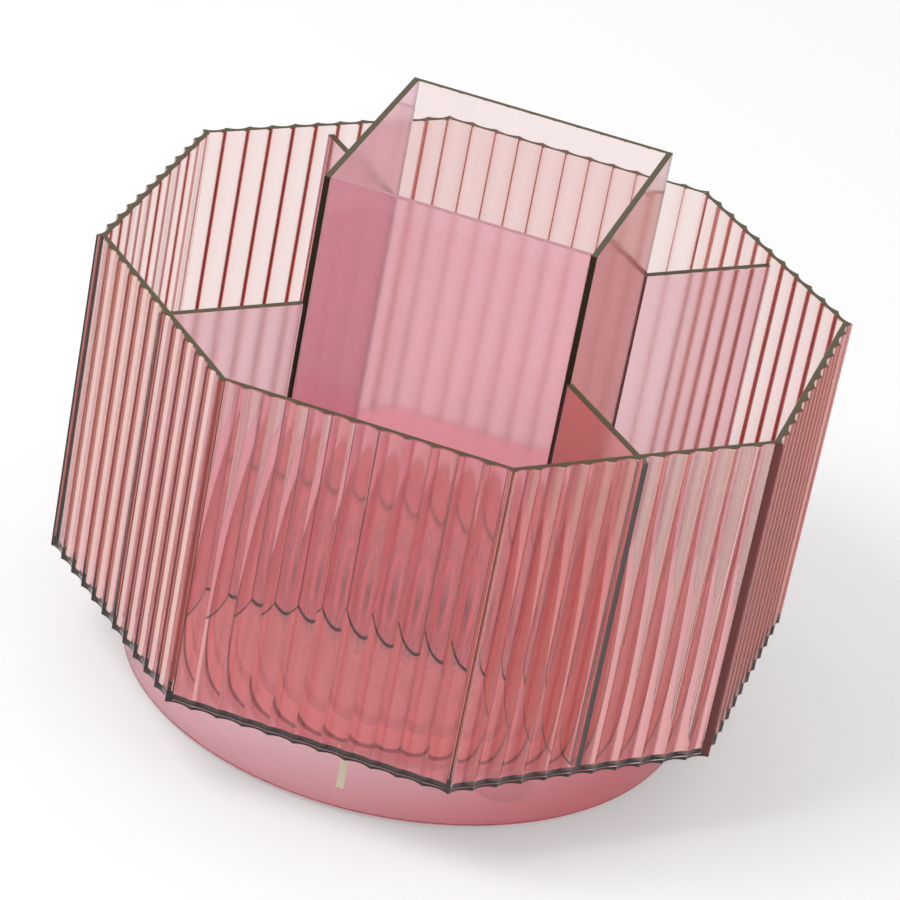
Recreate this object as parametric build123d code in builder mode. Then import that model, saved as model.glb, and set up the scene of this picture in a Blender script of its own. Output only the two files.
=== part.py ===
from build123d import *
from math import cos, radians, sqrt, tan
import os

# Rotating pen holder of clear rose acrylic. An octagon of fluted panels stands round a taller square
# tube, four dividers join the two, and the whole turns on a ball race over a low round base.
# Millimetres, +Z up. The origin is on the desk, on the axis of rotation. The front panel faces -Y.

# Octagonal wall of fluted sheet
PANEL_NAMES = ["front", "front_right", "right", "rear_right", "rear", "rear_left", "left", "front_left"]
ACROSS_FLATS = 138.0  # over the ridges between the flutes
WALL_HEIGHT = 70.0
WALL_WEB = 1.1  # sheet left under the middle of a flute
FLUTE_DEPTH = 0.85
FLUTES_PER_PANEL = 11

# Square tube in the middle
TUBE_SIDE = 54.0
TUBE_RISE = 25.0  # from the rim of the octagon to the rim of the tube
TUBE_SHEET = 1.2

# Dividers from the corners of the tube to the diagonal panels
DIVIDER_NAMES = ["front_right", "rear_right", "rear_left", "front_left"]
DIVIDER_SHEET = 1.4
DIVIDER_DROP = 2.0  # below the rim of the octagon

# Floor of the holder
FLOOR_SHEET = 1.2

# Turntable disc and ball race
TURNTABLE_DIAMETER = 104.0
TURNTABLE_SHEET = 2.5
RUNNING_GAP = 1.5  # from the base up to the turntable disc
RACE_DIAMETER = 44.0  # of the circle through the centres of the balls
BALL_DIAMETER = 4.0
BALL_COUNT = 12
CAGE_WIDTH = 9.0

# Pivot
PIN_DIAMETER = 8.0
PIN_FLANGE_DIAMETER = 16.0
PIN_FLANGE = 1.0
BUSH_WALL = 2.0
BUSH_FLANGE_DIAMETER = 17.0
BUSH_FLANGE = 1.2
WASHER_DIAMETER = 16.0
WASHER_SHEET = 1.0
SCREW_DIAMETER = 4.0
SCREW_LENGTH = 5.5
TAP_RELIEF = 0.5  # tapped hole past the end of the screw
SCREW_HEAD_DIAMETER = 8.0
SCREW_HEAD_HEIGHT = 2.4
SCREW_SOCKET = 2.5  # across the flats of the hexagon socket
SCREW_SOCKET_DEPTH = 1.4

# Round base
BASE_DIAMETER = 116.0
BASE_HEIGHT = 14.5
BASE_RING_WALL = 1.6
BASE_EDGE_RADIUS = 0.5
DECK_SHEET = 3.0
BASE_PLATE_SHEET = 2.0

# Rubber feet
FOOT_DIAMETER = 12.0
FOOT_HEIGHT = 1.0
FOOT_EDGE_RADIUS = 0.3
FOOT_INSET = 9.0  # from the side of the base to the nearest point of a foot

# Fits
CEMENT_LINE = 0.05  # between cemented faces
SEAT_CLEARANCE = 0.05  # round pieces that are pressed or screwed together
PIVOT_CLEARANCE = 0.05  # pin in bush, on the radius
END_PLAY = 0.3  # lift of the pin in the bush
BALL_CLEARANCE = 0.05  # ball in race
POCKET_CLEARANCE = 0.15  # ball in cage
CAGE_CLEARANCE = 0.35  # cage to base and to turntable disc

# Levels
BASE_BOTTOM = FOOT_HEIGHT
BASE_TOP = BASE_BOTTOM + BASE_HEIGHT
DECK_BOTTOM = BASE_TOP - DECK_SHEET
TURNTABLE_BOTTOM = BASE_TOP + RUNNING_GAP
TURNTABLE_TOP = TURNTABLE_BOTTOM + TURNTABLE_SHEET
BALL_LEVEL = BASE_TOP + RUNNING_GAP / 2
FLOOR_BOTTOM = TURNTABLE_TOP + CEMENT_LINE
FLOOR_TOP = FLOOR_BOTTOM + FLOOR_SHEET
SHEET_FOOT = FLOOR_TOP + CEMENT_LINE
RIM = FLOOR_BOTTOM + WALL_HEIGHT
PIN_TOP = TURNTABLE_TOP
BUSH_BOTTOM = DECK_BOTTOM - BUSH_FLANGE
PIN_BOTTOM = BUSH_BOTTOM - END_PLAY
WASHER_BOTTOM = PIN_BOTTOM - WASHER_SHEET

# Distances from the axis
PANEL_TURN = 360 / len(PANEL_NAMES)
MITRE = radians(PANEL_TURN / 2)
RIDGE = ACROSS_FLATS / 2
WALL_INSIDE = RIDGE - FLUTE_DEPTH - WALL_WEB
TUBE_BETWEEN_SIDES = TUBE_SIDE - 2 * (TUBE_SHEET + CEMENT_LINE)
RACE_RADIUS = RACE_DIAMETER / 2
GROOVE_RADIUS = BALL_DIAMETER / 2 + BALL_CLEARANCE
BUSH_BORE = PIN_DIAMETER / 2 + PIVOT_CLEARANCE
BUSH_RADIUS = BUSH_BORE + BUSH_WALL
RING_BORE = BASE_DIAMETER / 2 - BASE_RING_WALL
FOOT_CIRCLE = BASE_DIAMETER / 2 - FOOT_INSET - FOOT_DIAMETER / 2

os.makedirs("parts", exist_ok=True)


def save(piece, name):
    """Name a finished piece and write its file."""
    piece.part.label = name
    export_step(piece.part, f"parts/{name}.step")


def mitred_half_width(distance):
    """Half width of a panel at a distance from the axis, short of the mitre by half the cement line."""
    return distance * tan(MITRE) - CEMENT_LINE / 2 / cos(MITRE)


def fluted_panel(turn):
    """One wall panel: flat inside, a row of round hollow flutes outside, mitred ends."""
    outer = mitred_half_width(RIDGE)
    inner = mitred_half_width(WALL_INSIDE)
    pitch = 2 * outer / FLUTES_PER_PANEL
    hollow = RIDGE - FLUTE_DEPTH
    with BuildPart() as panel:
        with BuildSketch(Plane.XY.offset(FLOOR_BOTTOM).rotated((0, 0, turn))):
            with BuildLine():
                for flute in range(FLUTES_PER_PANEL):
                    start = flute * pitch - outer
                    ThreePointArc((start, -RIDGE), (start + pitch / 2, -hollow), (start + pitch, -RIDGE))
                Polyline((outer, -RIDGE), (inner, -WALL_INSIDE), (-inner, -WALL_INSIDE), (-outer, -RIDGE))
            make_face()
        extrude(amount=WALL_HEIGHT)
    return panel


def tube_wall(turn, width):
    """One wall of the square tube, standing on the floor."""
    with BuildPart() as wall:
        with BuildSketch(Plane.XY.offset(SHEET_FOOT).rotated((0, 0, turn))):
            with Locations((0, (TUBE_SHEET - TUBE_SIDE) / 2)):
                Rectangle(width, TUBE_SHEET)
        extrude(amount=RIM + TUBE_RISE - SHEET_FOOT)
    return wall


def divider(turn):
    """One upright sheet from a corner of the tube, notched to fit it, to the middle of a panel."""
    corner = TUBE_SIDE / sqrt(2)
    end = WALL_INSIDE - CEMENT_LINE
    start = corner - DIVIDER_SHEET / 2
    notch = TUBE_SIDE + 2 * CEMENT_LINE
    with BuildPart() as sheet:
        with BuildSketch(Plane.XY.offset(SHEET_FOOT).rotated((0, 0, turn))):
            with Locations((0, -(start + end) / 2)):
                Rectangle(DIVIDER_SHEET, end - start)
            Rectangle(notch, notch, rotation=45, mode=Mode.SUBTRACT)
        extrude(amount=RIM - DIVIDER_DROP - SHEET_FOOT)
    return sheet


# Eight fluted panels
for index, name in enumerate(PANEL_NAMES):
    save(fluted_panel(index * PANEL_TURN), f"{name}_panel")

# Tube: the side walls cover the ends of the front and rear walls
save(tube_wall(0, TUBE_BETWEEN_SIDES), "tube_front_wall")
save(tube_wall(90, TUBE_SIDE), "tube_right_wall")
save(tube_wall(180, TUBE_BETWEEN_SIDES), "tube_rear_wall")
save(tube_wall(270, TUBE_SIDE), "tube_left_wall")

# Four dividers on the diagonals
for index, name in enumerate(DIVIDER_NAMES):
    save(divider(45 + 90 * index), f"{name}_divider")

# Octagonal floor, let in between the panels
with BuildPart() as floor_plate:
    with BuildSketch(Plane.XY.offset(FLOOR_BOTTOM)):
        RegularPolygon(
            WALL_INSIDE - CEMENT_LINE,
            len(PANEL_NAMES),
            major_radius=False,
            rotation=PANEL_TURN / 2,
        )
    extrude(amount=FLOOR_SHEET)
save(floor_plate, "floor_plate")

# Section of the ball groove that both races share
with BuildSketch(Plane.XZ) as groove:
    with Locations((RACE_RADIUS, BALL_LEVEL)):
        Circle(GROOVE_RADIUS)

# Turntable disc with the upper race below and a seat for the pin's flange on top
with BuildPart() as turntable_disc:
    with BuildSketch(Plane.XY.offset(TURNTABLE_BOTTOM)):
        Circle(TURNTABLE_DIAMETER / 2)
        Circle(PIN_DIAMETER / 2 + SEAT_CLEARANCE, mode=Mode.SUBTRACT)
    extrude(amount=TURNTABLE_SHEET)
    with BuildSketch(Plane.XY.offset(PIN_TOP)):
        Circle(PIN_FLANGE_DIAMETER / 2 + SEAT_CLEARANCE)
    extrude(amount=-PIN_FLANGE, mode=Mode.SUBTRACT)
    revolve(groove.sketch, axis=Axis.Z, mode=Mode.SUBTRACT)
save(turntable_disc, "turntable_disc")

# Flanged pivot pin, tapped from below
with BuildPart() as pivot_pin:
    with BuildSketch(Plane.XY.offset(PIN_BOTTOM)):
        Circle(PIN_DIAMETER / 2)
    extrude(amount=PIN_TOP - PIN_BOTTOM)
    with BuildSketch(Plane.XY.offset(PIN_TOP)):
        Circle(PIN_FLANGE_DIAMETER / 2)
    extrude(amount=-PIN_FLANGE)
    with BuildSketch(Plane.XY.offset(PIN_BOTTOM)):
        Circle(SCREW_DIAMETER / 2 + SEAT_CLEARANCE)
    extrude(amount=SCREW_LENGTH - WASHER_SHEET + TAP_RELIEF, mode=Mode.SUBTRACT)
save(pivot_pin, "pivot_pin")

# Washer that hooks the pin under the bush
with BuildPart() as pivot_washer:
    with BuildSketch(Plane.XY.offset(WASHER_BOTTOM)):
        Circle(WASHER_DIAMETER / 2)
        Circle(SCREW_DIAMETER / 2 + SEAT_CLEARANCE, mode=Mode.SUBTRACT)
    extrude(amount=WASHER_SHEET)
save(pivot_washer, "pivot_washer")

# Screw that holds the washer on the end of the pin
with BuildPart() as pivot_screw:
    with BuildSketch(Plane.XY.offset(WASHER_BOTTOM)):
        Circle(SCREW_DIAMETER / 2)
    extrude(amount=SCREW_LENGTH)
    with BuildSketch(Plane.XY.offset(WASHER_BOTTOM)):
        Circle(SCREW_HEAD_DIAMETER / 2)
    extrude(amount=-SCREW_HEAD_HEIGHT)
    with BuildSketch(Plane.XY.offset(WASHER_BOTTOM - SCREW_HEAD_HEIGHT)):
        RegularPolygon(SCREW_SOCKET / 2, 6, major_radius=False)
    extrude(amount=SCREW_SOCKET_DEPTH, mode=Mode.SUBTRACT)
save(pivot_screw, "pivot_screw")

# Cage and balls
with BuildPart() as ball_cage:
    with BuildSketch(Plane.XY.offset(BASE_TOP + CAGE_CLEARANCE)):
        Circle(RACE_RADIUS + CAGE_WIDTH / 2)
        Circle(RACE_RADIUS - CAGE_WIDTH / 2, mode=Mode.SUBTRACT)
        with PolarLocations(RACE_RADIUS, BALL_COUNT):
            Circle(BALL_DIAMETER / 2 + POCKET_CLEARANCE, mode=Mode.SUBTRACT)
    extrude(amount=RUNNING_GAP - 2 * CAGE_CLEARANCE)
save(ball_cage, "ball_cage")

with BuildPart(Plane.XY.offset(BALL_LEVEL)) as bearing_balls:
    with PolarLocations(RACE_RADIUS, BALL_COUNT):
        Sphere(BALL_DIAMETER / 2)
save(bearing_balls, "bearing_balls")

# Base: a ring with a deck let into its top and a plate let into its bottom
with BuildPart() as base_ring:
    with BuildSketch(Plane.XY.offset(BASE_BOTTOM)):
        Circle(BASE_DIAMETER / 2)
        Circle(RING_BORE, mode=Mode.SUBTRACT)
    extrude(amount=BASE_HEIGHT)
    outside = base_ring.faces().filter_by(GeomType.CYLINDER).sort_by(SortBy.AREA)[-1]
    fillet(outside.edges().filter_by(GeomType.CIRCLE), radius=BASE_EDGE_RADIUS)
save(base_ring, "base_ring")

with BuildPart() as base_deck:
    with BuildSketch(Plane.XY.offset(DECK_BOTTOM)):
        Circle(RING_BORE - CEMENT_LINE)
        Circle(BUSH_RADIUS + SEAT_CLEARANCE, mode=Mode.SUBTRACT)
    extrude(amount=DECK_SHEET)
    revolve(groove.sketch, axis=Axis.Z, mode=Mode.SUBTRACT)
save(base_deck, "base_deck")

with BuildPart() as base_plate:
    with BuildSketch(Plane.XY.offset(BASE_BOTTOM)):
        Circle(RING_BORE - CEMENT_LINE)
    extrude(amount=BASE_PLATE_SHEET)
save(base_plate, "base_plate")

# Flanged bush, pressed into the deck from below
with BuildPart() as pivot_bush:
    with BuildSketch(Plane.XY.offset(BUSH_BOTTOM)):
        Circle(BUSH_FLANGE_DIAMETER / 2)
    extrude(amount=BUSH_FLANGE)
    with BuildSketch(Plane.XY.offset(BUSH_BOTTOM)):
        Circle(BUSH_RADIUS)
    extrude(amount=BASE_TOP - BUSH_BOTTOM)
    with BuildSketch(Plane.XY.offset(BUSH_BOTTOM)):
        Circle(BUSH_BORE)
    extrude(amount=BASE_TOP - BUSH_BOTTOM, mode=Mode.SUBTRACT)
save(pivot_bush, "pivot_bush")

# Four rubber feet under the plate
for index, name in enumerate(DIVIDER_NAMES):
    with BuildPart() as foot:
        with BuildSketch(Plane.XY.rotated((0, 0, 45 + 90 * index))):
            with Locations((0, -FOOT_CIRCLE)):
                Circle(FOOT_DIAMETER / 2)
        extrude(amount=FOOT_HEIGHT)
        fillet(foot.edges().group_by(Axis.Z)[0], radius=FOOT_EDGE_RADIUS)
    save(foot, f"foot_{name}")
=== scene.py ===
"""Looks of a rotating pen holder of clear rose acrylic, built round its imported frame."""
from math import asin, cos, log, pi, radians, sin, sqrt, tan

import bmesh
import bpy
from bpy.props import FloatProperty, FloatVectorProperty, IntProperty, PointerProperty
from mathutils import Matrix, Vector


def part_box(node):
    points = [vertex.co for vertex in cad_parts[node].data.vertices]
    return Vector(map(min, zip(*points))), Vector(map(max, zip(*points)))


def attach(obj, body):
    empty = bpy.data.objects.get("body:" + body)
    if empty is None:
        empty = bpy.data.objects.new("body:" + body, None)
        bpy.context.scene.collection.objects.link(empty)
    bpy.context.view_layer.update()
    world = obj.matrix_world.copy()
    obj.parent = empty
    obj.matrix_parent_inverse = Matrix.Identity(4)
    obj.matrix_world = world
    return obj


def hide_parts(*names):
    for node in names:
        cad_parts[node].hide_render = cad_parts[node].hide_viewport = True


bl_info = {
    "name": "Rotating Pen Holder",
    "version": (1, 0, 0),
    "blender": (4, 5, 0),
    "location": "View3D > Sidebar > Pen Holder",
    "description": "Builds the acrylic sheets, the turntable and the studio of a rotating pen holder",
    "category": "Object",
}

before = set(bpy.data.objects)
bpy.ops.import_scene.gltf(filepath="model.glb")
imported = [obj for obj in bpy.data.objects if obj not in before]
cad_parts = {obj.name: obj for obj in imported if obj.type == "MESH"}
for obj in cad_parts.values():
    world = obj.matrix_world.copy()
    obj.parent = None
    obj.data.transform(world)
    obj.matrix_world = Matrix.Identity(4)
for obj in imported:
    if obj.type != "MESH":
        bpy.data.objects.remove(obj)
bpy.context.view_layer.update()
MM = 0.001

# Gap that keeps two faces apart and doesn't show, and distance below which points are one
HAIR = 0.02 * MM
MERGED = MM / 1000

# Names of the frame's pieces
SIDES = ["front", "front_right", "right", "rear_right", "rear", "rear_left", "left", "front_left"]
DIAGONALS = ["front_right", "rear_right", "rear_left", "front_left"]
TUBE_SIDES = ["front", "right", "rear", "left"]

# Edges that turn more than SHARP_TURN keep a hard shading line, and those past BROKEN_TURN are broken
SHARP_TURN = radians(15)
BROKEN_TURN = radians(50)

# Parts of a normal past which a face looks one way, or looks squarely that way
FACING = 0.5
SQUARELY = 0.9

# Segments across a broken edge and round the corner of a turned piece
EDGE_SEGMENTS = 2
CORNER_SEGMENTS = 5

# Ends of panels whose mitre gets an opaque dark red painted shade, -1 for the left end and 1 for the
# right end
RED_MITRE_ENDS = {"front_right": 1, "right": -1}

# Ends of panels with a band of dark painted shade along the outer edge of their mitre
SHADED_ENDS = {"front_left": -1}

# Roughness of clear, hazy and satin acrylic, the spread and the size of its patches, and its IOR
CLEAR = 0.0
HAZY = 0.08
SATIN = 0.15
HAZE_SPREAD = 0.03
HAZE_PATCH = 9 * MM
ACRYLIC_IOR = 1.49

# Share by which the roughness of the other finishes varies
ROUGH_SPREAD = 0.2

# How much the thin sheets and the small parts inside the base cover of what is behind them
HIDDEN_SHEET = 0.35
HIDDEN_PART = 0.3

# The stage: its floor, the lift of the floor's tone where it is seen, its softbox, and the turns of
# light that are traced
FLOOR_RADIUS = 3.0
FLOOR_SEGMENTS = 64
FLOOR_LIFT = 0.33
SOFTBOX_SIZE = 0.5
SOFTBOX_PLACE = (-0.5, -0.5, 0.9)
ALL_BOUNCES = 32
GLOSSY_BOUNCES = 16

# Painted glow of the floor under the base: its middle, where its fade starts and ends, and what is left
# then
GLOW_MIDDLE = (4 * MM, 4 * MM, 0)
GLOW_FADE = (55 * MM, 90 * MM)
GLOW_LEFT = 0.1

# Painted rose shadow in that glow: the spot it grows away from, where the growth starts and ends, and its
# edge
ROSE_SHADOW_SPOT = (-25 * MM, 5 * MM, 0)
ROSE_SHADOW_GROWTH = (40 * MM, 78 * MM)
ROSE_SHADOW_EDGE = (56 * MM, 62 * MM)
ROSE_SHADOW_COLOUR = "#cc8989"
WHITE = "#ffffff"


def linear(hex_colour):
    """Linear RGBA of an sRGB colour written as hex digits."""
    channels = [int(hex_colour[i:i + 2], 16) / 255 for i in (1, 3, 5)]
    return (*(c / 12.92 if c <= 0.04045 else ((c + 0.055) / 1.055) ** 2.4 for c in channels), 1.0)


# Settings that a user would change


class SheetSettings(bpy.types.PropertyGroup):
    """Sizes of the acrylic sheets that their boxes in the frame don't give."""

    flutes: IntProperty(name="Flutes", description="Hollow flutes on each panel", default=11, min=1)
    flute_depth: FloatProperty(
        name="Flute Depth",
        description="From the ridges to the middle of a flute",
        default=0.85 * MM,
        unit="LENGTH",
        subtype="DISTANCE",
    )
    flute_steps: IntProperty(name="Flute Steps", description="Flats along a flute", default=16, min=4)
    divider_sheet: FloatProperty(
        name="Divider Sheet",
        description="Thickness of the dividers",
        default=1.4 * MM,
        unit="LENGTH",
        subtype="DISTANCE",
    )
    edge_break: FloatProperty(
        name="Edge Break",
        description="Width of the broken edge round each flat sheet",
        default=0.12 * MM,
        unit="LENGTH",
        subtype="DISTANCE",
    )
    # Width of a band of dark painted shade where a sheet ends on another
    dark_band: FloatProperty(
        name="Bead",
        description="Width of the bead of cement where a sheet ends on another",
        default=0.4 * MM,
        unit="LENGTH",
        subtype="DISTANCE",
    )
    rim_break: FloatProperty(
        name="Rim Break",
        description="Width of the polished edges along the rim of the panels",
        default=0.3 * MM,
        unit="LENGTH",
        subtype="DISTANCE",
    )


class BaseSettings(bpy.types.PropertyGroup):
    """Sizes of the turned pieces of the base and of its mark."""

    ring_wall: FloatProperty(
        name="Ring Wall",
        description="Thickness of the skirt of the base",
        default=1.6 * MM,
        unit="LENGTH",
        subtype="DISTANCE",
    )
    rounding: FloatProperty(
        name="Rounding",
        description="Radius on the outer edges of the skirt",
        default=0.5 * MM,
        unit="LENGTH",
        subtype="DISTANCE",
    )
    balls: IntProperty(name="Balls", description="Balls in the race", default=12, min=3)
    foot_rounding: FloatProperty(
        name="Foot Rounding",
        description="Radius round the tread of a foot",
        default=0.3 * MM,
        unit="LENGTH",
        subtype="DISTANCE",
    )
    steps: IntProperty(name="Steps", description="Flats round a turned piece", default=192, min=24)
    mark_width: FloatProperty(
        name="Mark Width",
        description="Width of the cream mark on the front of the skirt",
        default=1.5 * MM,
        unit="LENGTH",
        subtype="DISTANCE",
    )
    mark_foot: FloatProperty(
        name="Mark Foot",
        description="Height of the foot of the mark above the foot of the skirt",
        default=4.8 * MM,
        unit="LENGTH",
        subtype="DISTANCE",
    )
    mark_turn: FloatProperty(
        name="Mark Turn",
        description="Turn of the mark from the front to the right",
        default=radians(5.2),
        unit="ROTATION",
        subtype="ANGLE",
    )
    # How far the cream strip stands off the skirt
    mark_reach: FloatProperty(
        name="Mark Film",
        description="Reach of the film of the mark from the skirt",
        default=0.1 * MM,
        unit="LENGTH",
        subtype="DISTANCE",
    )


def dye(sheet, hex_colour):
    """A setting for the colour that a millimetre of a sheet lets through."""
    return FloatVectorProperty(
        name=f"{sheet} Dye",
        description=f"Colour that a millimetre of the {sheet.lower()} sheet lets through",
        default=linear(hex_colour)[:3],
        size=3,
        min=0.01,
        max=1,
        subtype="COLOR",
    )


class FinishSettings(bpy.types.PropertyGroup):
    """Dyes of the clear acrylic, some of them deepened or paled as painted shade and painted light."""

    fluted: dye("Fluted", "#f8ecea")
    tube: dye("Tube", "#f9dee7")
    # Painted shade: the right wall is a deeper copy of the tube's dye
    right_wall: dye("Right Wall", "#f6d0cf")
    # Painted light: the rear wall is a paler copy of the tube's dye
    rear_wall: dye("Rear Wall", "#faf0f0")
    divider: dye("Divider", "#f6e4ea")
    # Painted shade: the front right divider is a deeper, redder copy of the divider's dye
    red_divider: dye("Red Divider", "#fcdedc")
    floor: dye("Floor", "#f8d1d6")
    turntable: dye("Turntable", "#fffefe")
    deck: dye("Deck", "#ffeeee")
    # The skirt's dye is the moulded base's own rose, deepened as painted shade
    skirt: dye("Skirt", "#f7dbe1")


class StageSettings(bpy.types.PropertyGroup):
    """Camera and light."""

    aim: FloatVectorProperty(
        name="Aim",
        description="Point at the middle of the picture",
        default=(0.0007, 0.0002, 0.0512),
        size=3,
        unit="LENGTH",
        subtype="XYZ",
    )
    azimuth: FloatProperty(
        name="Azimuth",
        description="Camera to the right of the front",
        default=radians(12.6),
        unit="ROTATION",
        subtype="ANGLE",
    )
    elevation: FloatProperty(
        name="Elevation",
        description="Camera above the horizon",
        default=radians(28.73),
        unit="ROTATION",
        subtype="ANGLE",
    )
    roll: FloatProperty(
        name="Roll",
        description="Lean of the camera to its left",
        default=radians(11.2),
        unit="ROTATION",
        subtype="ANGLE",
    )
    distance: FloatProperty(
        name="Distance",
        description="From the camera to its aim",
        default=0.8328,
        unit="LENGTH",
        subtype="DISTANCE",
    )
    lens: FloatProperty(
        name="Lens",
        description="Focal length in millimetres",
        default=168.07,
        unit="CAMERA",
    )
    ambient: FloatProperty(
        name="Ambient",
        description="Strength of the even studio light",
        default=0.55,
        min=0,
    )
    key_power: FloatProperty(
        name="Key Power",
        description="Power of the main softbox in watts",
        default=5.0,
        min=0,
        unit="POWER",
    )


class PenHolderSettings(bpy.types.PropertyGroup):
    """All settings of the pen holder."""

    sheets: PointerProperty(type=SheetSettings)
    base: PointerProperty(type=BaseSettings)
    finish: PointerProperty(type=FinishSettings)
    stage: PointerProperty(type=StageSettings)


# Materials


def add_node(tree, kind, inputs=None, **settings):
    """Add a node with its settings, and set or link each of the inputs that are named."""
    node = tree.nodes.new(kind)
    for name, value in settings.items():
        setattr(node, name, value)
    for name, value in (inputs or {}).items():
        if isinstance(value, bpy.types.NodeSocket):
            tree.links.new(value, node.inputs[name])
        else:
            node.inputs[name].default_value = value
    return node


def new_material(name):
    """An empty node material with its tree."""
    material = bpy.data.materials.new(name)
    material.use_nodes = True
    material.node_tree.nodes.clear()
    return material, material.node_tree


def rose_acrylic(name, dye_colour, satin, cover=1.0):
    """Acrylic dyed rose, with more colour the longer the way through it. Cast sheet is clear and glossy,
    and moulded pieces have a satin face that blurs what is inside. Thin hidden pieces cover little."""
    material, tree = new_material(name)
    place = add_node(tree, "ShaderNodeTexCoord").outputs["Object"]
    # Faint cloudiness left by polishing
    haze = add_node(tree, "ShaderNodeTexNoise", {"Vector": place, "Scale": 1 / HAZE_PATCH, "Detail": 3.0})
    rough = add_node(
        tree,
        "ShaderNodeMapRange",
        {"Value": haze.outputs["Fac"], "To Min": satin, "To Max": satin + HAZE_SPREAD},
    )
    shader = add_node(
        tree,
        "ShaderNodeBsdfPrincipled",
        {
            "Base Color": linear(WHITE),
            "Roughness": rough.outputs[0],
            "Transmission Weight": 1.0,
            "IOR": ACRYLIC_IOR,
            "Alpha": cover,
        },
    )
    # What a millimetre takes from each colour gives the depth of the dye and its share of each
    taken = [-log(channel) / MM for channel in dye_colour]
    depth = max(taken)
    inside = add_node(
        tree,
        "ShaderNodeVolumeAbsorption",
        {"Color": (*(1 - channel / depth for channel in taken), 1.0), "Density": depth},
    )
    add_node(
        tree,
        "ShaderNodeOutputMaterial",
        {"Surface": shader.outputs["BSDF"], "Volume": inside.outputs["Volume"]},
    )
    return material


def solid_finish(name, dark, light, patch, rough, **sockets):
    """A finish that goes between two colours in patches of a size, with a roughness that follows."""
    material, tree = new_material(name)
    place = add_node(tree, "ShaderNodeTexCoord").outputs["Object"]
    patches = add_node(tree, "ShaderNodeTexNoise", {"Vector": place, "Scale": 1 / patch, "Detail": 4.0})
    colour = add_node(
        tree,
        "ShaderNodeMix",
        {0: patches.outputs["Fac"], 6: linear(dark), 7: linear(light)},
        data_type="RGBA",
    )
    gloss = add_node(
        tree,
        "ShaderNodeMapRange",
        {
            "Value": patches.outputs["Fac"],
            "To Min": rough * (1 - ROUGH_SPREAD),
            "To Max": rough * (1 + ROUGH_SPREAD),
        },
    )
    shader = add_node(
        tree,
        "ShaderNodeBsdfPrincipled",
        {
            "Base Color": colour.outputs[2],
            "Roughness": gloss.outputs[0],
            **{socket.replace("_", " "): value for socket, value in sockets.items()},
        },
    )
    add_node(tree, "ShaderNodeOutputMaterial", {"Surface": shader.outputs["BSDF"]})
    return material


class PENHOLDER_OT_finishes(bpy.types.Operator):
    """Make the materials"""

    bl_idname = "pen_holder.finishes"
    bl_label = "Finishes"

    def execute(self, context):
        finish = context.scene.pen_holder.finish
        # The flat sheets are a little hazy but for the tube's rear wall and the floor, and the moulded
        # base has a satin face
        roughness = {
            "fluted": CLEAR,
            "tube": HAZY,
            "right_wall": HAZY,
            "rear_wall": CLEAR,
            "floor": CLEAR,
            "divider": HAZY,
            "red_divider": HAZY,
            "turntable": SATIN,
            "deck": SATIN,
            "skirt": SATIN,
        }
        for sheet, rough in roughness.items():
            cover = HIDDEN_SHEET if sheet in ("turntable", "deck") else 1.0
            rose_acrylic(f"rose_{sheet}", getattr(finish, sheet), rough, cover)
        # Painted shade on the edges of the sheets: opaque dark and olive colours stand in for the light
        # that a sheet traps along its length, and an opaque mauve is painted rose light on the front rim
        # of the tube
        solid_finish("sawn_edge", "#2c2418", "#3a3122", 0.5 * MM, 0.5, Specular_IOR_Level=0.1)
        solid_finish("sawn_rim", "#544b34", "#645a40", 0.5 * MM, 0.4, Specular_IOR_Level=0.15)
        solid_finish("mauve_rim", "#c8929b", "#d49ca4", 0.5 * MM, 0.4, Specular_IOR_Level=0.15)
        # Painted shade: an opaque dark red on some mitres and on the rear ends of the tube's side walls,
        # for light that runs a long way in the rose sheet
        solid_finish("solvent_cement", "#a83a36", "#c0443e", 1.5 * MM, 0.5, Specular_IOR_Level=0.1)
        # Satin or frosted polycarbonate and clear glass nearly vanish between the rose sheets
        clear = {"Transmission_Weight": 1.0}
        hidden = {"Alpha": HIDDEN_PART}
        solid_finish("satin_plate", "#fbfaf9", WHITE, 6 * MM, 0.2, IOR=ACRYLIC_IOR, **clear, **hidden)
        solid_finish("polycarbonate", "#f8f6f4", WHITE, 6 * MM, 0.35, IOR=1.585, **clear, **hidden)
        solid_finish("clear_glass", "#f6faf8", WHITE, 2 * MM, 0.01, IOR=1.52, **clear)
        # A matt cream, lighter than the rose behind it, for the thin strip on the front of the skirt
        solid_finish("cream_film", "#fff0cf", "#fff5dc", 2 * MM, 0.5)
        # Acetal is waxy white, and silicone is clear and dull
        waxy = {"Transmission_Weight": 0.8}
        solid_finish("acetal", "#f0ece2", "#f8f5ee", 3 * MM, 0.3, IOR=1.48, **waxy, **hidden)
        solid_finish("silicone", "#f6f0ee", "#fdfafa", 2 * MM, 0.1, IOR=1.41, **clear)
        return {"FINISHED"}


# Shaping


def verts_of(made):
    """The vertices that an operator made."""
    return [item for item in made["geom"] if isinstance(item, bmesh.types.BMVert)]


def bevel(bm, geom, width, affect="EDGES", segments=EDGE_SEGMENTS):
    """Round edges or corners by a width."""
    bmesh.ops.bevel(
        bm,
        geom=geom,
        offset=width,
        offset_type="OFFSET",
        affect=affect,
        segments=segments,
        profile=0.5,
        material=-1,
    )


def break_edges(bm, width, chosen=None):
    """Take the sharpness off the outward edges of a sheet, or off those that pass a test."""
    bmesh.ops.recalc_face_normals(bm, faces=bm.faces)
    bm.normal_update()
    edges = [e for e in bm.edges if e.is_convex and e.calc_face_angle(0) > BROKEN_TURN]
    bevel(bm, [e for e in edges if not chosen or chosen(*(v.co for v in e.verts))], width)
    bm.normal_update()


def finish_faces(bm, finishes, name, test):
    """Give the faces whose normal and middle pass a test a finish, and add it to the sheet's list."""
    finishes.append(name)
    for face in bm.faces:
        if test(face.normal, face.calc_center_median()):
            face.material_index = len(finishes) - 1


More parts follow.
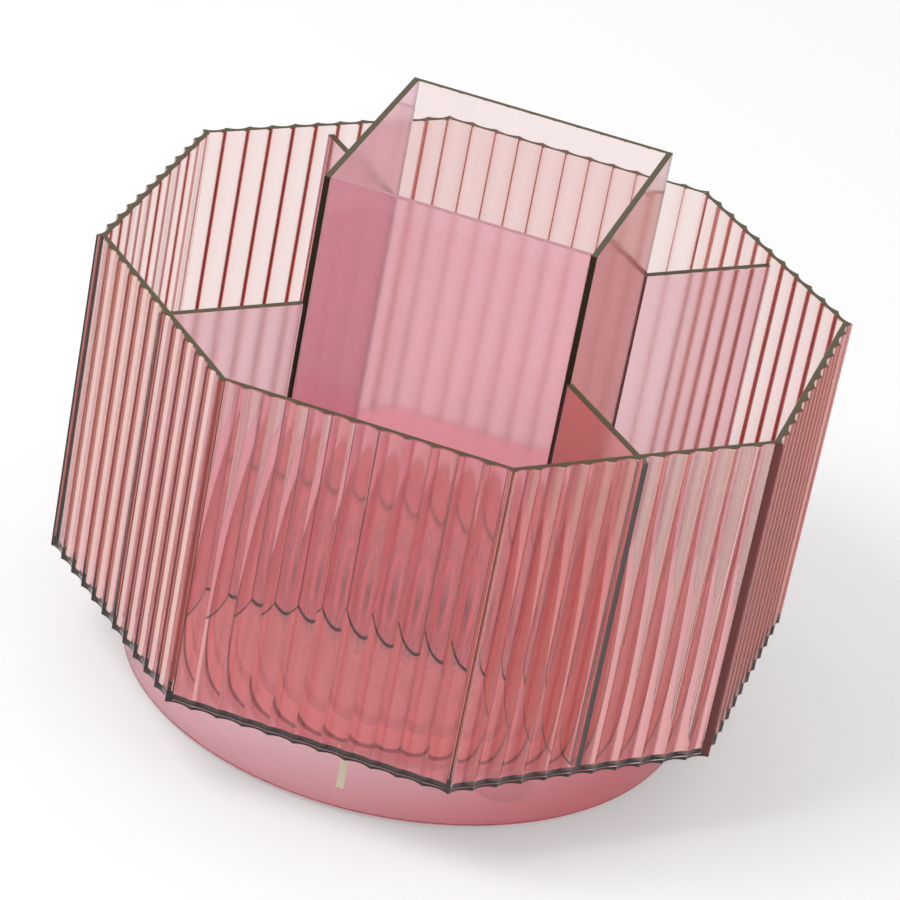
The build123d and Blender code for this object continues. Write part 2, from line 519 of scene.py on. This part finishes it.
def cut(bm, faces, place, normal):
    """Cut faces of a shape along a plane."""
    edges = {edge for face in faces for edge in face.edges}
    verts = {vert for face in faces for vert in face.verts}
    bmesh.ops.bisect_plane(bm, geom=[*verts, *edges, *faces], plane_co=place, plane_no=normal)


def turn(bm, angle):
    """Turn a shape about the axis of the holder."""
    bmesh.ops.rotate(bm, verts=bm.verts, cent=(0, 0, 0), matrix=Matrix.Rotation(angle, 3, "Z"))


def block(low, high):
    """A sheet between two corners."""
    bm = bmesh.new()
    bmesh.ops.create_cube(bm, size=1)
    bmesh.ops.scale(bm, verts=bm.verts, vec=high - low)
    bmesh.ops.translate(bm, verts=bm.verts, vec=(low + high) / 2)
    return bm


def turned(section, steps):
    """Spin a section about the axis. Each corner has a radius, a height and a rounding."""
    bm = bmesh.new()
    corners = [bm.verts.new((radius, 0, height)) for radius, height, _ in section]
    bm.faces.new(corners)
    for corner, (_, _, rounding) in zip(corners, section):
        if rounding:
            bevel(bm, [corner], rounding, "VERTICES", CORNER_SEGMENTS)
    bmesh.ops.delete(bm, geom=bm.faces[:], context="FACES_ONLY")
    on_axis = [e for e in bm.edges if max(v.co.x for v in e.verts) < MERGED]
    bmesh.ops.delete(bm, geom=on_axis, context="EDGES")
    bmesh.ops.spin(
        bm,
        geom=bm.verts[:] + bm.edges[:],
        cent=(0, 0, 0),
        axis=(0, 0, 1),
        angle=2 * pi,
        steps=steps,
        use_merge=True,
    )
    bmesh.ops.remove_doubles(bm, verts=bm.verts, dist=MERGED)
    bmesh.ops.recalc_face_normals(bm, faces=bm.faces)
    bm.normal_update()
    return bm


def add_piece(bm, name, body, slot, nodes, *finishes):
    """Make a piece of a finished shape, that rides on its body and stands for its nodes."""
    mesh = bpy.data.meshes.new(name)
    bm.to_mesh(mesh)
    bm.free()
    mesh.shade_smooth()
    mesh.set_sharp_from_angle(angle=SHARP_TURN)
    for finish in finishes:
        mesh.materials.append(bpy.data.materials[finish])
    piece = bpy.data.objects.new(name, mesh)
    bpy.context.scene.collection.objects.link(piece)
    # Large faces keep their own normals beside narrow roundings, so that sheets don't act as lenses
    flats = piece.modifiers.new("flats", "WEIGHTED_NORMAL")
    flats.keep_sharp = True
    flats.weight = 100
    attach(piece, body)
    if nodes:
        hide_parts(*nodes)


# Pieces


class PENHOLDER_OT_carried_over(bpy.types.Operator):
    """Finish the pieces of the turntable and the pivot, that keep the shape they have in the frame"""

    bl_idname = "pen_holder.carried_over"
    bl_label = "Turntable and Pivot"

    def execute(self, context):
        finishes = {
            "turntable_disc": "rose_turntable",
            "base_deck": "rose_deck",
            "base_plate": "satin_plate",
            "ball_cage": "polycarbonate",
            "pivot_pin": "polycarbonate",
            "pivot_washer": "polycarbonate",
            "pivot_screw": "polycarbonate",
            "pivot_bush": "acetal",
        }
        for node, finish in finishes.items():
            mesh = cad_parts[node].data
            mesh.materials.clear()
            mesh.materials.append(bpy.data.materials[finish])
        return {"FINISHED"}


def fluted_panel(sheets, finishes, red_end, shaded_end):
    """The front panel: flutes spun one by one, drawn in to the flat inside and up to the rim."""
    low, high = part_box("front_panel")
    outer = high.x
    inner = outer - (high.y - low.y) * tan(pi / len(SIDES))
    pitch = 2 * outer / sheets.flutes
    radius = (pitch ** 2 / 4 + sheets.flute_depth ** 2) / (2 * sheets.flute_depth)
    bm = bmesh.new()
    ridge = bm.verts.new((-outer, low.y, low.z))
    for flute in range(sheets.flutes):
        made = bmesh.ops.spin(
            bm,
            geom=[ridge],
            cent=((flute + 0.5) * pitch - outer, low.y + sheets.flute_depth - radius, low.z),
            axis=(0, 0, 1),
            angle=-2 * asin(pitch / 2 / radius),
            steps=sheets.flute_steps,
        )
        ridge = made["geom_last"][0]
    inside = verts_of(bmesh.ops.extrude_edge_only(bm, edges=bm.edges))
    bmesh.ops.scale(bm, verts=inside, vec=(inner / outer, 0, 1))
    bmesh.ops.translate(bm, verts=inside, vec=(0, high.y, 0))
    rim = verts_of(bmesh.ops.extrude_face_region(bm, geom=bm.faces[:]))
    bmesh.ops.translate(bm, verts=rim, vec=(0, 0, high.z - low.z))
    # Only the long edges of the rim are broken, not the ridges or the mitres
    middle = (low.z + high.z) / 2
    break_edges(
        bm,
        sheets.rim_break,
        lambda a, b: min(a.z, b.z) > middle and abs(a.x - b.x) > abs(a.y - b.y),
    )
    # Painted shade: the foot of the panel is dark and its rim olive, for the light that the sheet traps
    finish_faces(bm, finishes, "sawn_edge", lambda normal, _: normal.z < -SQUARELY)
    finish_faces(bm, finishes, "sawn_rim", lambda normal, _: normal.z > SQUARELY)

    def on_mitre(normal, end):
        return normal.x * end > FACING and normal.y > 0

    # Painted shade on the mitres: dark red at one end of some panels, and a dark band along the outer
    # edge at one end of another
    if red_end:
        finish_faces(bm, finishes, "solvent_cement", lambda normal, _: on_mitre(normal, red_end))
    if shaded_end:
        line = low.y + sheets.dark_band
        cut(bm, [f for f in bm.faces if on_mitre(f.normal, shaded_end)], (0, line, 0), (0, 1, 0))
        finish_faces(
            bm,
            finishes,
            "sawn_edge",
            lambda normal, place: on_mitre(normal, shaded_end) and place.y < line,
        )
    return bm


class PENHOLDER_OT_fluted_panels(bpy.types.Operator):
    """Build the eight fluted panels of the octagon"""

    bl_idname = "pen_holder.fluted_panels"
    bl_label = "Fluted Panels"

    def execute(self, context):
        sheets = context.scene.pen_holder.sheets
        for index, side in enumerate(SIDES):
            finishes = ["rose_fluted"]
            bm = fluted_panel(sheets, finishes, RED_MITRE_ENDS.get(side), SHADED_ENDS.get(side))
            turn(bm, index * 2 * pi / len(SIDES))
            nodes = [f"{side}_panel"]
            add_piece(bm, f"fluted_{side}", "holder", "rose_acrylic", nodes, *finishes)
        return {"FINISHED"}


class PENHOLDER_OT_tube_walls(bpy.types.Operator):
    """Build the four flat walls of the square tube"""

    bl_idname = "pen_holder.tube_walls"
    bl_label = "Tube Walls"

    def execute(self, context):
        sheets = context.scene.pen_holder.sheets
        for side in TUBE_SIDES:
            low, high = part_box(f"tube_{side}_wall")
            bm = block(low, high)
            dark_band = low.z + sheets.dark_band
            finishes = [f"rose_{side}_wall" if side in ("right", "rear") else "rose_tube"]
            if side in ("front", "rear"):
                cut(bm, bm.faces[:], (0, 0, dark_band), (0, 0, 1))
            break_edges(bm, sheets.edge_break)
            # Painted shade: the side walls are dark on their front ends and foot and dark red on their
            # rear ends, and the front and rear walls are dark along a band at their foot
            if side in ("front", "rear"):
                finish_faces(bm, finishes, "sawn_edge", lambda _, middle: middle.z < dark_band)
            else:
                finish_faces(bm, finishes, "sawn_edge", lambda normal, _: abs(normal.x) < FACING)
                finish_faces(bm, finishes, "solvent_cement", lambda normal, _: normal.y > FACING)
            # The rim has painted rose light on the front wall and olive painted shade on the others
            rim = "mauve_rim" if side == "front" else "sawn_rim"
            finish_faces(bm, finishes, rim, lambda normal, _: normal.z > FACING)
            nodes = [f"tube_{side}_wall"]
            add_piece(bm, f"tube_{side}", "holder", "rose_acrylic", nodes, *finishes)
        return {"FINISHED"}


class PENHOLDER_OT_dividers(bpy.types.Operator):
    """Build the four dividers, notched round the corners of the tube"""

    bl_idname = "pen_holder.dividers"
    bl_label = "Dividers"

    def execute(self, context):
        sheets = context.scene.pen_holder.sheets
        half = sheets.divider_sheet / 2
        low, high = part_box("front_right_divider")
        start = low.x * sqrt(2) + half
        end = high.x * sqrt(2) - half
        for index, side in enumerate(DIAGONALS):
            bm = block(Vector((-half, -end, low.z)), Vector((half, -start, high.z)))
            across = [e for e in bm.edges if abs(e.verts[0].co.x - e.verts[1].co.x) > half]
            bmesh.ops.subdivide_edges(bm, edges=across, cuts=1)
            notch = [v for v in bm.verts if abs(v.co.x) < half / 2 and v.co.y + start > -half / 2]
            bmesh.ops.translate(bm, verts=notch, vec=(0, -half, 0))
            dark_band = sheets.dark_band - end
            cut(bm, bm.faces[:], (0, dark_band, 0), (0, 1, 0))
            break_edges(bm, sheets.edge_break)
            finishes = ["rose_red_divider" if side == "front_right" else "rose_divider"]
            # Painted shade: the front dividers are dark on their ends, notch and foot and along a band at
            # their outer end, the rear ones are polished, and all have an olive painted shade on top
            if side.startswith("front"):
                finish_faces(
                    bm,
                    finishes,
                    "sawn_edge",
                    lambda normal, middle: abs(normal.x) < FACING or middle.y < dark_band,
                )
            finish_faces(bm, finishes, "sawn_rim", lambda normal, _: normal.z > FACING)
            turn(bm, pi / 4 + index * pi / 2)
            nodes = [f"{side}_divider"]
            add_piece(bm, f"divider_{side}", "holder", "rose_acrylic", nodes, *finishes)
        return {"FINISHED"}


class PENHOLDER_OT_floor_plate(bpy.types.Operator):
    """Build the octagonal floor of the holder"""

    bl_idname = "pen_holder.floor_plate"
    bl_label = "Floor Plate"

    def execute(self, context):
        sheets = context.scene.pen_holder.sheets
        low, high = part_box("floor_plate")
        bm = bmesh.new()
        corner = high.x / cos(pi / len(SIDES))
        bmesh.ops.create_circle(bm, cap_ends=True, radius=corner, segments=len(SIDES))
        turn(bm, pi / len(SIDES))
        bmesh.ops.translate(bm, verts=bm.verts, vec=(0, 0, low.z))
        top = verts_of(bmesh.ops.extrude_face_region(bm, geom=bm.faces[:]))
        bmesh.ops.translate(bm, verts=top, vec=(0, 0, high.z - low.z))
        break_edges(bm, sheets.edge_break)
        # Painted shade: the edges are dark but for the three rear ones, which are polished and don't show
        # through the tube
        finishes = ["rose_floor"]
        finish_faces(
            bm,
            finishes,
            "sawn_edge",
            lambda normal, _: abs(normal.z) < FACING and normal.y < FACING,
        )
        add_piece(bm, "floor_octagon", "holder", "rose_acrylic", ["floor_plate"], *finishes)
        return {"FINISHED"}


class PENHOLDER_OT_base_skirt(bpy.types.Operator):
    """Build the round skirt of the base"""

    bl_idname = "pen_holder.base_skirt"
    bl_label = "Base Skirt"

    def execute(self, context):
        base = context.scene.pen_holder.base
        low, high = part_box("base_ring")
        bore = high.x - base.ring_wall
        inner_break = base.rounding / 4
        section = [
            (bore, low.z, inner_break),
            (high.x, low.z, base.rounding),
            (high.x, high.z, base.rounding),
            (bore, high.z, inner_break),
        ]
        bm = turned(section, base.steps)
        add_piece(bm, "base_skirt", "base", "milky_rose_acrylic", ["base_ring"], "rose_skirt")
        return {"FINISHED"}


class PENHOLDER_OT_index_mark(bpy.types.Operator):
    """Build the thin cream mark on the front of the skirt"""

    bl_idname = "pen_holder.index_mark"
    bl_label = "Index Mark"

    def execute(self, context):
        base = context.scene.pen_holder.base
        low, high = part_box("base_ring")
        half = base.mark_width / 2
        bm = block(
            Vector((-half, low.y - base.mark_reach, low.z + base.mark_foot)),
            Vector((half, low.y - HAIR, high.z - base.rounding)),
        )
        turn(bm, base.mark_turn)
        add_piece(bm, "skirt_mark", "base", "natural_acetal", [], "cream_film")
        return {"FINISHED"}


class PENHOLDER_OT_balls(bpy.types.Operator):
    """Build the ring of balls"""

    bl_idname = "pen_holder.balls"
    bl_label = "Balls"

    def execute(self, context):
        base = context.scene.pen_holder.base
        low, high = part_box("bearing_balls")
        radius = (high.z - low.z) / 2
        bm = bmesh.new()
        for index in range(base.balls):
            made = bmesh.ops.create_icosphere(bm, subdivisions=4, radius=radius)
            place = Vector((high.x - radius, 0, (low.z + high.z) / 2))
            bmesh.ops.translate(bm, verts=made["verts"], vec=place)
            spot = Matrix.Rotation(index * 2 * pi / base.balls, 3, "Z")
            bmesh.ops.rotate(bm, verts=made["verts"], cent=(0, 0, 0), matrix=spot)
        add_piece(bm, "race_balls", "ball_ring", "clear_glass", ["bearing_balls"], "clear_glass")
        return {"FINISHED"}


class PENHOLDER_OT_feet(bpy.types.Operator):
    """Build the four round feet"""

    bl_idname = "pen_holder.feet"
    bl_label = "Feet"

    def execute(self, context):
        base = context.scene.pen_holder.base
        for side in DIAGONALS:
            low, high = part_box(f"foot_{side}")
            # A hair's breadth below the base plate, so that light gets through
            high.z -= HAIR
            radius = (high.x - low.x) / 2
            section = [
                (0, low.z, 0),
                (radius, low.z, base.foot_rounding),
                (radius, high.z, base.foot_rounding / 4),
                (0, high.z, 0),
            ]
            bm = turned(section, base.steps // 3)
            middle = (low + high) / 2
            bmesh.ops.translate(bm, verts=bm.verts, vec=(middle.x, middle.y, 0))
            add_piece(bm, f"pad_{side}", "base", "clear_silicone", [f"foot_{side}"], "silicone")
        return {"FINISHED"}


# Stage


def seen_by_eye(tree):
    """1 for rays that come from the camera, straight or by way of metal and glass."""
    path = add_node(tree, "ShaderNodeLightPath")
    seen = path.outputs["Is Camera Ray"]
    for ray in ("Is Glossy Ray", "Is Transmission Ray"):
        either = add_node(tree, "ShaderNodeMath", {0: seen, 1: path.outputs[ray]}, operation="MAXIMUM")
        seen = either.outputs[0]
    # Rays that have left a matt surface light it, and are not seen
    matt = add_node(
        tree,
        "ShaderNodeMath",
        {0: path.outputs["Diffuse Depth"], 1: 0.5},
        operation="LESS_THAN",
    )
    both = add_node(tree, "ShaderNodeMath", {0: seen, 1: matt.outputs[0]}, operation="MULTIPLY")
    return both.outputs[0]


def pale_floor():
    """White painted board: matt, and lifted to white where it is seen, so that the shadow stays. Under
    the base it glows with painted light where it is seen through the sheets, with a painted rose shadow
    away from the lamp.
    """
    material, tree = new_material("white_painted_board")
    path = add_node(tree, "ShaderNodeLightPath")
    lift = add_node(tree, "ShaderNodeMath", {0: seen_by_eye(tree), 1: FLOOR_LIFT}, operation="MULTIPLY")
    board = add_node(
        tree,
        "ShaderNodeBsdfPrincipled",
        {
            "Base Color": linear("#eeeeee"),
            "Roughness": 0.9,
            "Emission Color": linear(WHITE),
            "Emission Strength": lift.outputs[0],
        },
    )
    # Painted light: under the base the board glows where it is seen through the sheets, in place of light
    # that takes more turns in the sheets than are traced
    place = add_node(tree, "ShaderNodeTexCoord").outputs["Object"]
    reach = add_node(tree, "ShaderNodeVectorMath", {0: place, 1: GLOW_MIDDLE}, operation="DISTANCE")
    under = add_node(
        tree,
        "ShaderNodeMapRange",
        {
            "Value": reach.outputs["Value"],
            "From Min": GLOW_FADE[0],
            "From Max": GLOW_FADE[1],
            "To Min": 1.0,
            "To Max": GLOW_LEFT,
        },
    )
    # Painted rose shadow: inside the base's outline the glow turns rose away from a spot on the lamp's
    # side, as if that light had come through more rose sheets
    away = add_node(tree, "ShaderNodeVectorMath", {0: place, 1: ROSE_SHADOW_SPOT}, operation="DISTANCE")
    share = add_node(
        tree,
        "ShaderNodeMapRange",
        {"Value": away.outputs["Value"], "From Min": ROSE_SHADOW_GROWTH[0], "From Max": ROSE_SHADOW_GROWTH[1]},
    )
    axis = add_node(tree, "ShaderNodeVectorMath", {0: place}, operation="LENGTH")
    inside = add_node(
        tree,
        "ShaderNodeMapRange",
        {
            "Value": axis.outputs["Value"],
            "From Min": ROSE_SHADOW_EDGE[0],
            "From Max": ROSE_SHADOW_EDGE[1],
            "To Min": 1.0,
            "To Max": 0.0,
        },
    )
    rose_shadow_share = add_node(
        tree,
        "ShaderNodeMath",
        {0: share.outputs[0], 1: inside.outputs[0]},
        operation="MULTIPLY",
    )
    shadow_tint = add_node(
        tree,
        "ShaderNodeMix",
        {0: rose_shadow_share.outputs[0], 6: linear(WHITE), 7: linear(ROSE_SHADOW_COLOUR)},
        data_type="RGBA",
    )
    glow = add_node(tree, "ShaderNodeEmission", {"Color": shadow_tint.outputs[2], "Strength": 1.0})
    through = add_node(
        tree,
        "ShaderNodeMath",
        {0: path.outputs["Is Transmission Ray"], 1: under.outputs[0]},
        operation="MULTIPLY",
    )
    both = add_node(
        tree,
        "ShaderNodeMixShader",
        {0: through.outputs[0], 1: board.outputs[0], 2: glow.outputs[0]},
    )
    add_node(tree, "ShaderNodeOutputMaterial", {"Surface": both.outputs[0]})
    return material


def white_room(ambient):
    """White surroundings where they are seen, and even light of a plain level elsewhere."""
    world = bpy.data.worlds.new("white_room")
    world.use_nodes = True
    tree = world.node_tree
    tree.nodes.clear()
    strength = add_node(
        tree,
        "ShaderNodeMapRange",
        {"Value": seen_by_eye(tree), "To Min": ambient, "To Max": 1.0},
    )
    background = add_node(
        tree,
        "ShaderNodeBackground",
        {"Color": linear(WHITE), "Strength": strength.outputs[0]},
    )
    add_node(tree, "ShaderNodeOutputWorld", {"Surface": background.outputs[0]})
    return world


def add_softbox(name, power, size, place, aim):
    """A square area light that faces the holder."""
    lamp = bpy.data.lights.new(name, "AREA")
    lamp.energy = power
    lamp.size = size
    softbox = bpy.data.objects.new(name, lamp)
    softbox.location = place
    softbox.rotation_euler = (aim - softbox.location).to_track_quat("-Z", "Y").to_euler()
    bpy.context.scene.collection.objects.link(softbox)


class PENHOLDER_OT_stage(bpy.types.Operator):
    """Build the floor, the light and the camera"""

    bl_idname = "pen_holder.stage"
    bl_label = "Stage"

    def execute(self, context):
        scene = context.scene
        stage = scene.pen_holder.stage
        aim = Vector(stage.aim)
        scene.view_settings.view_transform = "Standard"

        bm = bmesh.new()
        bmesh.ops.create_circle(bm, cap_ends=True, radius=FLOOR_RADIUS, segments=FLOOR_SEGMENTS)
        mesh = bpy.data.meshes.new("floor")
        bm.to_mesh(mesh)
        bm.free()
        mesh.materials.append(pale_floor())
        floor = bpy.data.objects.new("floor", mesh)
        floor.location.z = -HAIR
        scene.collection.objects.link(floor)

        scene.world = white_room(stage.ambient)
        add_softbox("key_softbox", stage.key_power, SOFTBOX_SIZE, SOFTBOX_PLACE, aim)

        lens = bpy.data.cameras.new("camera")
        lens.lens = stage.lens
        camera = bpy.data.objects.new("camera", lens)
        scene.collection.objects.link(camera)
        level = cos(stage.elevation)
        back = Vector((sin(stage.azimuth) * level, -cos(stage.azimuth) * level, sin(stage.elevation)))
        camera.location = aim + back * stage.distance
        look = (-back).to_track_quat("-Z", "Y").to_matrix()
        camera.rotation_euler = (look @ Matrix.Rotation(stage.roll, 3, "Z")).to_euler()
        scene.camera = camera

        scene.cycles.max_bounces = ALL_BOUNCES
        scene.cycles.transmission_bounces = ALL_BOUNCES
        scene.cycles.glossy_bounces = GLOSSY_BOUNCES
        return {"FINISHED"}


OPERATORS = [
    PENHOLDER_OT_finishes,
    PENHOLDER_OT_fluted_panels,
    PENHOLDER_OT_tube_walls,
    PENHOLDER_OT_dividers,
    PENHOLDER_OT_floor_plate,
    PENHOLDER_OT_carried_over,
    PENHOLDER_OT_base_skirt,
    PENHOLDER_OT_index_mark,
    PENHOLDER_OT_balls,
    PENHOLDER_OT_feet,
    PENHOLDER_OT_stage,
]


class PENHOLDER_PT_sidebar(bpy.types.Panel):
    """Lists the steps that build the pen holder"""

    bl_label = "Pen Holder"
    bl_idname = "PENHOLDER_PT_sidebar"
    bl_space_type = "VIEW_3D"
    bl_region_type = "UI"
    bl_category = "Pen Holder"

    def draw(self, context):
        for operator in OPERATORS:
            self.layout.operator(operator.bl_idname)


CLASSES = [
    SheetSettings,
    BaseSettings,
    FinishSettings,
    StageSettings,
    PenHolderSettings,
    *OPERATORS,
    PENHOLDER_PT_sidebar,
]


def register():
    for cls in CLASSES:
        bpy.utils.register_class(cls)
    bpy.types.Scene.pen_holder = PointerProperty(type=PenHolderSettings)


def unregister():
    del bpy.types.Scene.pen_holder
    for cls in reversed(CLASSES):
        bpy.utils.unregister_class(cls)


def main():
    register()
    for operator in OPERATORS:
        group, name = operator.bl_idname.split(".")
        getattr(getattr(bpy.ops, group), name)()


if __name__ == "__main__":
    main()
